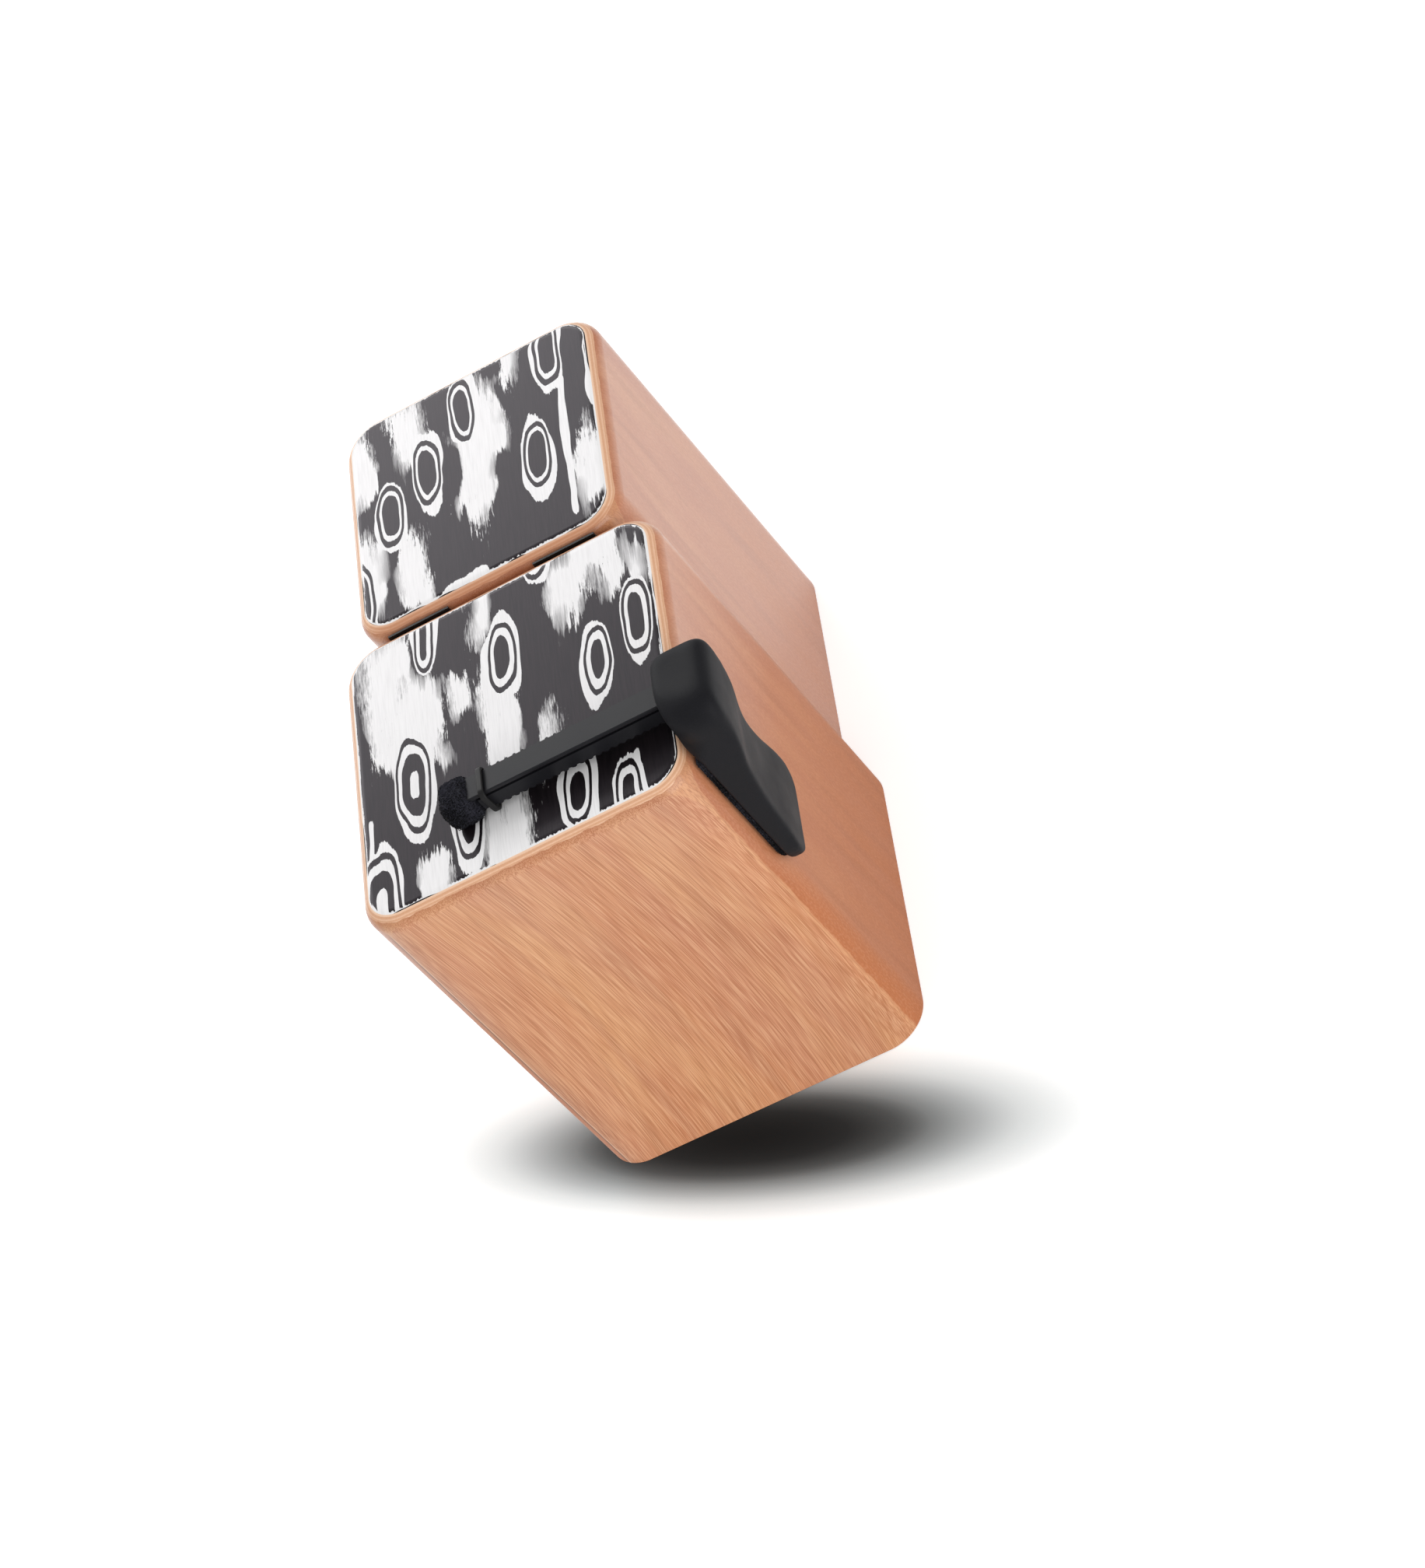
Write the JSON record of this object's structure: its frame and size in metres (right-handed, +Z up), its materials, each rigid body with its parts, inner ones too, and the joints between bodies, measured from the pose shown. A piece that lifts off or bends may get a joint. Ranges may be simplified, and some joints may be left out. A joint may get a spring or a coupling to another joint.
{
  "type": "box drum pair with clip-on rattle",
  "caption": "Large and small open-bottomed plywood box drums joined side by side, with a rattle bar on a moulded arm held to the large box's side wall.",
  "frame": {"origin": "middle of the whole part's footprint, on the surface that the open rims stand on", "axes": "+Z up out of the playing faces, +X towards the rattle's arm, -Y towards the large box"},
  "size_m": [0.2066, 0.3402, 0.2535],
  "materials": {
    "plywood": "satin lacquered plywood with a red-brown face veneer",
    "dyed_veneer": "black and white dyed figured veneer, satin lacquer",
    "batten": "raw pine",
    "black_rubber": "matt",
    "zinc_steel": "zinc plated",
    "arm_plastic": "fine matt texture",
    "bar_plastic": "smooth satin",
    "pad_tape": "hook and loop tape",
    "loop_felt": "fuzzy loop fabric"
  },
  "bodies": {
    "box_pair": {"large_box_front_wall": "plywood", "large_box_rear_wall": "plywood", "large_box_left_wall": "plywood", "large_box_right_wall": "plywood", "large_box_top_plate": "plywood", "large_box_face_veneer": "dyed_veneer", "large_box_batten_front_left": "batten", "large_box_batten_front_right": "batten", "large_box_batten_rear_left": "batten", "large_box_batten_rear_right": "batten", "small_box_front_wall": "plywood", "small_box_rear_wall": "plywood", "small_box_left_wall": "plywood", "small_box_right_wall": "plywood", "small_box_top_plate": "plywood", "small_box_face_veneer": "dyed_veneer", "small_box_batten_front_left": "batten", "small_box_batten_front_right": "batten", "small_box_batten_rear_left": "batten", "small_box_batten_rear_right": "batten", "spacer_left": "black_rubber", "spacer_right": "black_rubber", "bolt_left_upper": "zinc_steel", "bolt_left_lower": "zinc_steel", "bolt_right_upper": "zinc_steel", "bolt_right_lower": "zinc_steel", "nut_left_upper": "zinc_steel", "nut_left_lower": "zinc_steel", "nut_right_upper": "zinc_steel", "nut_right_lower": "zinc_steel", "washer_front_left_upper": "zinc_steel", "washer_front_left_lower": "zinc_steel", "washer_front_right_upper": "zinc_steel", "washer_front_right_lower": "zinc_steel", "washer_rear_left_upper": "zinc_steel", "washer_rear_left_lower": "zinc_steel", "washer_rear_right_upper": "zinc_steel", "washer_rear_right_lower": "zinc_steel", "loop_pad": "pad_tape"},
    "rattle": {"arm": "arm_plastic", "hook_pad": "pad_tape", "rail": "bar_plastic", "clapper_pin": "zinc_steel", "end_pad": "loop_felt"},
    "clapper": {"clapper": "bar_plastic"},
    "ring": {"rubber_ring": "black_rubber"}
  },
  "joints": [
    {"name": "rattle_pull_off", "type": "slide", "parent": "box_pair", "child": "rattle", "axis": [1, 0, 0], "range_m": [0, 0.06]},
    {"name": "clapper_rattle", "type": "hinge", "parent": "rattle", "child": "clapper", "pos_m": [0.08025, -0.127, 0.2369], "axis": [0, -1, 0], "range_deg": [-0.35, 0.4]},
    {"name": "ring_slide", "type": "slide", "parent": "rattle", "child": "ring", "axis": [1, 0, 0], "range_m": [-0.003, 0.094]}
  ]
}
